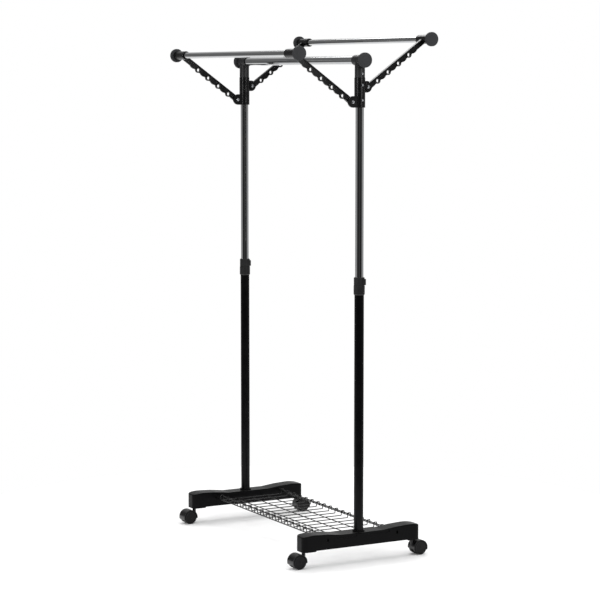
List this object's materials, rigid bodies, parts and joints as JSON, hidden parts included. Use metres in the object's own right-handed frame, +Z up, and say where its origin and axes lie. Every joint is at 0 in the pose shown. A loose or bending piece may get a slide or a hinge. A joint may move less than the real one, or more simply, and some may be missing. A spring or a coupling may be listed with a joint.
{
  "type": "rolling clothes rack",
  "caption": "Rolling clothes rack with a height-adjustable frame, a fixed middle rail, folding side rails on pierced arms, a wire shelf and swivel castors.",
  "frame": {"origin": "on the floor, midway between the four castors and under the middle rail", "axes": "+X along the rails towards the right-hand post, +Y across the feet towards the far wing, +Z up"},
  "size_m": [0.83, 0.4916, 1.5838],
  "materials": {
    "black_powder_coated_steel": "satin black powder coat",
    "black_coated_wire": "satin black coated wire",
    "chrome_plated_steel": "bright chrome plating",
    "satin_black_plastic": "satin moulded black",
    "castor_wheel_plastic": "moulded black nylon",
    "black_hood_plastic": "semi-gloss moulded black",
    "zinc_plated_steel": "bright zinc plate",
    "charcoal_plastic": "matt charcoal moulding",
    "grey_inner_plastic": "plain grey moulding",
    "gloss_black_plastic": "semi-gloss moulded black"
  },
  "bodies": {
    "base": {"left_collar_sleeve": "charcoal_plastic", "left_foot": "satin_black_plastic", "left_grip_collet": "grey_inner_plastic", "left_lower_tube": "black_powder_coated_steel", "post_bolts": "zinc_plated_steel", "post_plugs": "grey_inner_plastic", "right_collar_sleeve": "charcoal_plastic", "right_foot": "satin_black_plastic", "right_grip_collet": "grey_inner_plastic", "right_lower_tube": "black_powder_coated_steel", "shelf_back_rim": "black_coated_wire", "shelf_cross_wires": "black_coated_wire", "shelf_front_rim": "black_coated_wire", "shelf_long_wires": "black_coated_wire"},
    "upper_frame": {"frame_screws": "zinc_plated_steel", "guide_plugs": "grey_inner_plastic", "left_far_hinge_ring": "gloss_black_plastic", "left_near_hinge_ring": "gloss_black_plastic", "left_tee": "charcoal_plastic", "left_tee_cap": "charcoal_plastic", "left_upper_tube": "chrome_plated_steel", "middle_rail": "chrome_plated_steel", "pivot_rivets": "zinc_plated_steel", "right_far_hinge_ring": "gloss_black_plastic", "right_near_hinge_ring": "gloss_black_plastic", "right_tee": "charcoal_plastic", "right_tee_cap": "charcoal_plastic", "right_upper_tube": "chrome_plated_steel"},
    "left_knob": {"left_collar_knob": "charcoal_plastic"},
    "right_knob": {"right_collar_knob": "charcoal_plastic"},
    "near_wing": {"near_left_arm": "gloss_black_plastic", "near_left_rail_cap": "charcoal_plastic", "near_left_rail_socket": "gloss_black_plastic", "near_right_arm": "gloss_black_plastic", "near_right_rail_cap": "charcoal_plastic", "near_right_rail_socket": "gloss_black_plastic", "near_side_rail": "chrome_plated_steel"},
    "far_wing": {"far_left_arm": "gloss_black_plastic", "far_left_rail_cap": "charcoal_plastic", "far_left_rail_socket": "gloss_black_plastic", "far_right_arm": "gloss_black_plastic", "far_right_rail_cap": "charcoal_plastic", "far_right_rail_socket": "gloss_black_plastic", "far_side_rail": "chrome_plated_steel"},
    "near_left_castor": {"near_left_castor_hood": "black_hood_plastic", "near_left_castor_pins": "zinc_plated_steel"},
    "near_left_inner_wheel": {"near_left_inner_wheel": "castor_wheel_plastic"},
    "near_left_outer_wheel": {"near_left_outer_wheel": "castor_wheel_plastic"},
    "near_right_castor": {"near_right_castor_hood": "black_hood_plastic", "near_right_castor_pins": "zinc_plated_steel"},
    "near_right_inner_wheel": {"near_right_inner_wheel": "castor_wheel_plastic"},
    "near_right_outer_wheel": {"near_right_outer_wheel": "castor_wheel_plastic"},
    "far_left_castor": {"far_left_castor_hood": "black_hood_plastic", "far_left_castor_pins": "zinc_plated_steel"},
    "far_left_inner_wheel": {"far_left_inner_wheel": "castor_wheel_plastic"},
    "far_left_outer_wheel": {"far_left_outer_wheel": "castor_wheel_plastic"},
    "far_right_castor": {"far_right_castor_hood": "black_hood_plastic", "far_right_castor_pins": "zinc_plated_steel"},
    "far_right_inner_wheel": {"far_right_inner_wheel": "castor_wheel_plastic"},
    "far_right_outer_wheel": {"far_right_outer_wheel": "castor_wheel_plastic"}
  },
  "joints": [
    {"name": "height_slide", "type": "slide", "parent": "base", "child": "upper_frame", "axis": [0, 0, 1], "range_m": [-0.49, 0.04]},
    {"name": "left_collar_twist", "type": "hinge", "parent": "base", "child": "left_knob", "pos_m": [-0.37, 0, 0.85], "axis": [0, 0, 1], "range_deg": [0, 90]},
    {"name": "right_collar_twist", "type": "hinge", "parent": "base", "child": "right_knob", "pos_m": [0.37, 0, 0.85], "axis": [0, 0, 1], "range_deg": [0, 90]},
    {"name": "near_wing_fold", "type": "hinge", "parent": "upper_frame", "child": "near_wing", "pos_m": [0, -0.0275, 1.378], "axis": [1, 0, 0], "range_deg": [0, 120]},
    {"name": "far_wing_fold", "type": "hinge", "parent": "upper_frame", "child": "far_wing", "pos_m": [0, 0.0275, 1.422], "axis": [-1, 0, 0], "range_deg": [0, 120]},
    {"name": "near_left_swivel", "type": "hinge", "parent": "base", "child": "near_left_castor", "pos_m": [-0.37, -0.189, 0.05], "axis": [0, 0, 1], "continuous": true},
    {"name": "near_left_inner_spin", "type": "hinge", "parent": "near_left_castor", "child": "near_left_inner_wheel", "pos_m": [-0.37, -0.21, 0.0215], "axis": [1, 0, 0], "continuous": true},
    {"name": "near_left_outer_spin", "type": "hinge", "parent": "near_left_castor", "child": "near_left_outer_wheel", "pos_m": [-0.37, -0.21, 0.0215], "axis": [1, 0, 0], "continuous": true},
    {"name": "near_right_swivel", "type": "hinge", "parent": "base", "child": "near_right_castor", "pos_m": [0.37, -0.189, 0.05], "axis": [0, 0, 1], "continuous": true},
    {"name": "near_right_inner_spin", "type": "hinge", "parent": "near_right_castor", "child": "near_right_inner_wheel", "pos_m": [0.37, -0.21, 0.0215], "axis": [1, 0, 0], "continuous": true},
    {"name": "near_right_outer_spin", "type": "hinge", "parent": "near_right_castor", "child": "near_right_outer_wheel", "pos_m": [0.37, -0.21, 0.0215], "axis": [1, 0, 0], "continuous": true},
    {"name": "far_left_swivel", "type": "hinge", "parent": "base", "child": "far_left_castor", "pos_m": [-0.37, 0.189, 0.05], "axis": [0, 0, 1], "continuous": true},
    {"name": "far_left_inner_spin", "type": "hinge", "parent": "far_left_castor", "child": "far_left_inner_wheel", "pos_m": [-0.37, 0.21, 0.0215], "axis": [1, 0, 0], "continuous": true},
    {"name": "far_left_outer_spin", "type": "hinge", "parent": "far_left_castor", "child": "far_left_outer_wheel", "pos_m": [-0.37, 0.21, 0.0215], "axis": [1, 0, 0], "continuous": true},
    {"name": "far_right_swivel", "type": "hinge", "parent": "base", "child": "far_right_castor", "pos_m": [0.37, 0.189, 0.05], "axis": [0, 0, 1], "continuous": true},
    {"name": "far_right_inner_spin", "type": "hinge", "parent": "far_right_castor", "child": "far_right_inner_wheel", "pos_m": [0.37, 0.21, 0.0215], "axis": [1, 0, 0], "continuous": true},
    {"name": "far_right_outer_spin", "type": "hinge", "parent": "far_right_castor", "child": "far_right_outer_wheel", "pos_m": [0.37, 0.21, 0.0215], "axis": [1, 0, 0], "continuous": true}
  ]
}
